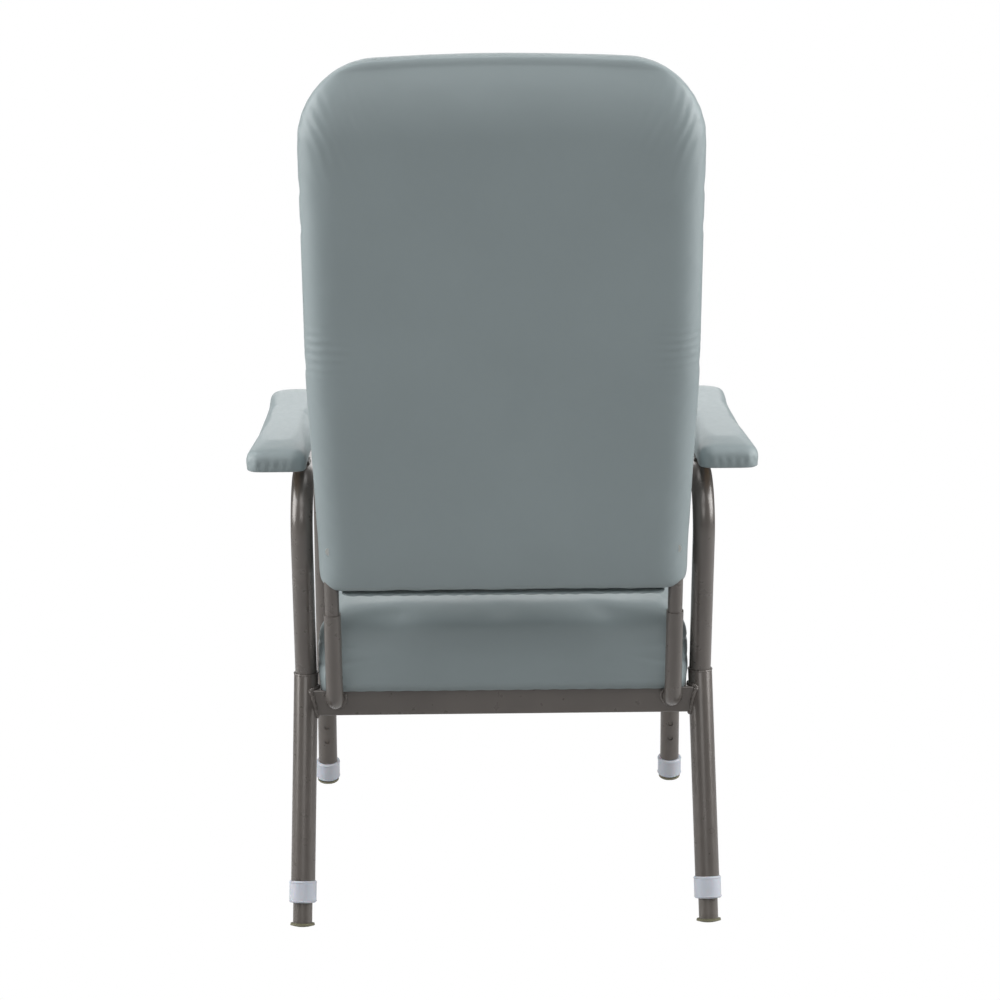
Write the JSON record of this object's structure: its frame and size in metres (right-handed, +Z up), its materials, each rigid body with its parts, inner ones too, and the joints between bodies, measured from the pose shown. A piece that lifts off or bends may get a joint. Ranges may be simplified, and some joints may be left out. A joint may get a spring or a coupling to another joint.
{
  "type": "high-back patient chair",
  "caption": "High-back patient chair with padded back, seat and armrests on a bent-tube frame, push-button adjustable legs and a lift-out backrest.",
  "frame": {"origin": "on the floor, under the centre of the chair's bounding box", "axes": "+Z up; the sitter looks along -Y, so the backrest is at +Y; +X is the sitter's left"},
  "size_m": [0.652, 0.8063, 1.1316],
  "materials": {
    "frame_paint": "bronze-grey gloss powder coat",
    "extension_paint": "bronze-grey gloss powder coat, lightly rubbed",
    "collar_plastic": "satin moulded polypropylene",
    "bush_plastic": "satin moulded nylon",
    "foot_rubber": "matt moulded rubber",
    "spring_steel": "bright spring steel",
    "fastener_steel": "zinc plated",
    "plywood": "raw birch plywood",
    "vinyl": "grained grey-blue vinyl"
  },
  "bodies": {
    "frame": {"front_crossbar": "frame_paint", "front_left_collar": "collar_plastic", "front_right_collar": "collar_plastic", "left_arm_board": "plywood", "left_arm_pad": "vinyl", "left_arm_screws": "fastener_steel", "left_arm_tabs": "frame_paint", "left_back_socket": "frame_paint", "left_rear_leg": "frame_paint", "left_seat_rail": "frame_paint", "left_side_frame": "frame_paint", "rear_crossbar": "frame_paint", "rear_left_collar": "collar_plastic", "rear_right_collar": "collar_plastic", "right_arm_board": "plywood", "right_arm_pad": "vinyl", "right_arm_screws": "fastener_steel", "right_arm_tabs": "frame_paint", "right_back_socket": "frame_paint", "right_rear_leg": "frame_paint", "right_seat_rail": "frame_paint", "right_side_frame": "frame_paint", "seat_board": "plywood", "seat_bolts": "fastener_steel", "seat_cushion": "vinyl", "seat_tee_nuts": "fastener_steel"},
    "backrest": {"back_board": "plywood", "back_bolts": "fastener_steel", "back_closing_strip": "vinyl", "back_front_cushion": "vinyl", "back_rear_pad": "vinyl", "back_tee_nuts": "fastener_steel", "left_back_post": "frame_paint", "right_back_post": "frame_paint"},
    "front_left_leg_extension": {"front_left_extension": "extension_paint", "front_left_foot": "foot_rubber", "front_left_spring_clip": "spring_steel"},
    "front_left_button": {"front_left_snap_button": "spring_steel"},
    "rear_left_leg_extension": {"rear_left_extension": "extension_paint", "rear_left_foot": "foot_rubber", "rear_left_spring_clip": "spring_steel", "rear_left_guide_bush": "bush_plastic"},
    "rear_left_button": {"rear_left_snap_button": "spring_steel"},
    "front_right_leg_extension": {"front_right_extension": "extension_paint", "front_right_foot": "foot_rubber", "front_right_spring_clip": "spring_steel"},
    "front_right_button": {"front_right_snap_button": "spring_steel"},
    "rear_right_leg_extension": {"rear_right_extension": "extension_paint", "rear_right_foot": "foot_rubber", "rear_right_spring_clip": "spring_steel", "rear_right_guide_bush": "bush_plastic"},
    "rear_right_button": {"rear_right_snap_button": "spring_steel"}
  },
  "joints": [
    {"name": "backrest_lift", "type": "slide", "parent": "frame", "child": "backrest", "axis": [0, 0.1994, 0.9799], "range_m": [0, 0.1]},
    {"name": "front_left_leg_height", "type": "slide", "parent": "frame", "child": "front_left_leg_extension", "axis": [0.0131, -0.209, -0.9778], "range_m": [0, 0.15]},
    {"name": "front_left_button_press", "type": "slide", "parent": "front_left_leg_extension", "child": "front_left_button", "axis": [-0.0028, -0.9779, 0.2089], "range_m": [0, 0.006], "stiffness_N_per_m": 1500, "springref_m": -0.003},
    {"name": "rear_left_leg_height", "type": "slide", "parent": "frame", "child": "rear_left_leg_extension", "axis": [0.0205, 0.2509, -0.9678], "range_m": [0, 0.15]},
    {"name": "rear_left_button_press", "type": "slide", "parent": "rear_left_leg_extension", "child": "rear_left_button", "axis": [-0.0053, 0.968, 0.2509], "range_m": [0, 0.006], "stiffness_N_per_m": 1500, "springref_m": -0.003},
    {"name": "front_right_leg_height", "type": "slide", "parent": "frame", "child": "front_right_leg_extension", "axis": [-0.0131, -0.209, -0.9778], "range_m": [0, 0.15]},
    {"name": "front_right_button_press", "type": "slide", "parent": "front_right_leg_extension", "child": "front_right_button", "axis": [0.0028, -0.9779, 0.2089], "range_m": [0, 0.006], "stiffness_N_per_m": 1500, "springref_m": -0.003},
    {"name": "rear_right_leg_height", "type": "slide", "parent": "frame", "child": "rear_right_leg_extension", "axis": [-0.0205, 0.2509, -0.9678], "range_m": [0, 0.15]},
    {"name": "rear_right_button_press", "type": "slide", "parent": "rear_right_leg_extension", "child": "rear_right_button", "axis": [0.0053, 0.968, 0.2509], "range_m": [0, 0.006], "stiffness_N_per_m": 1500, "springref_m": -0.003}
  ]
}
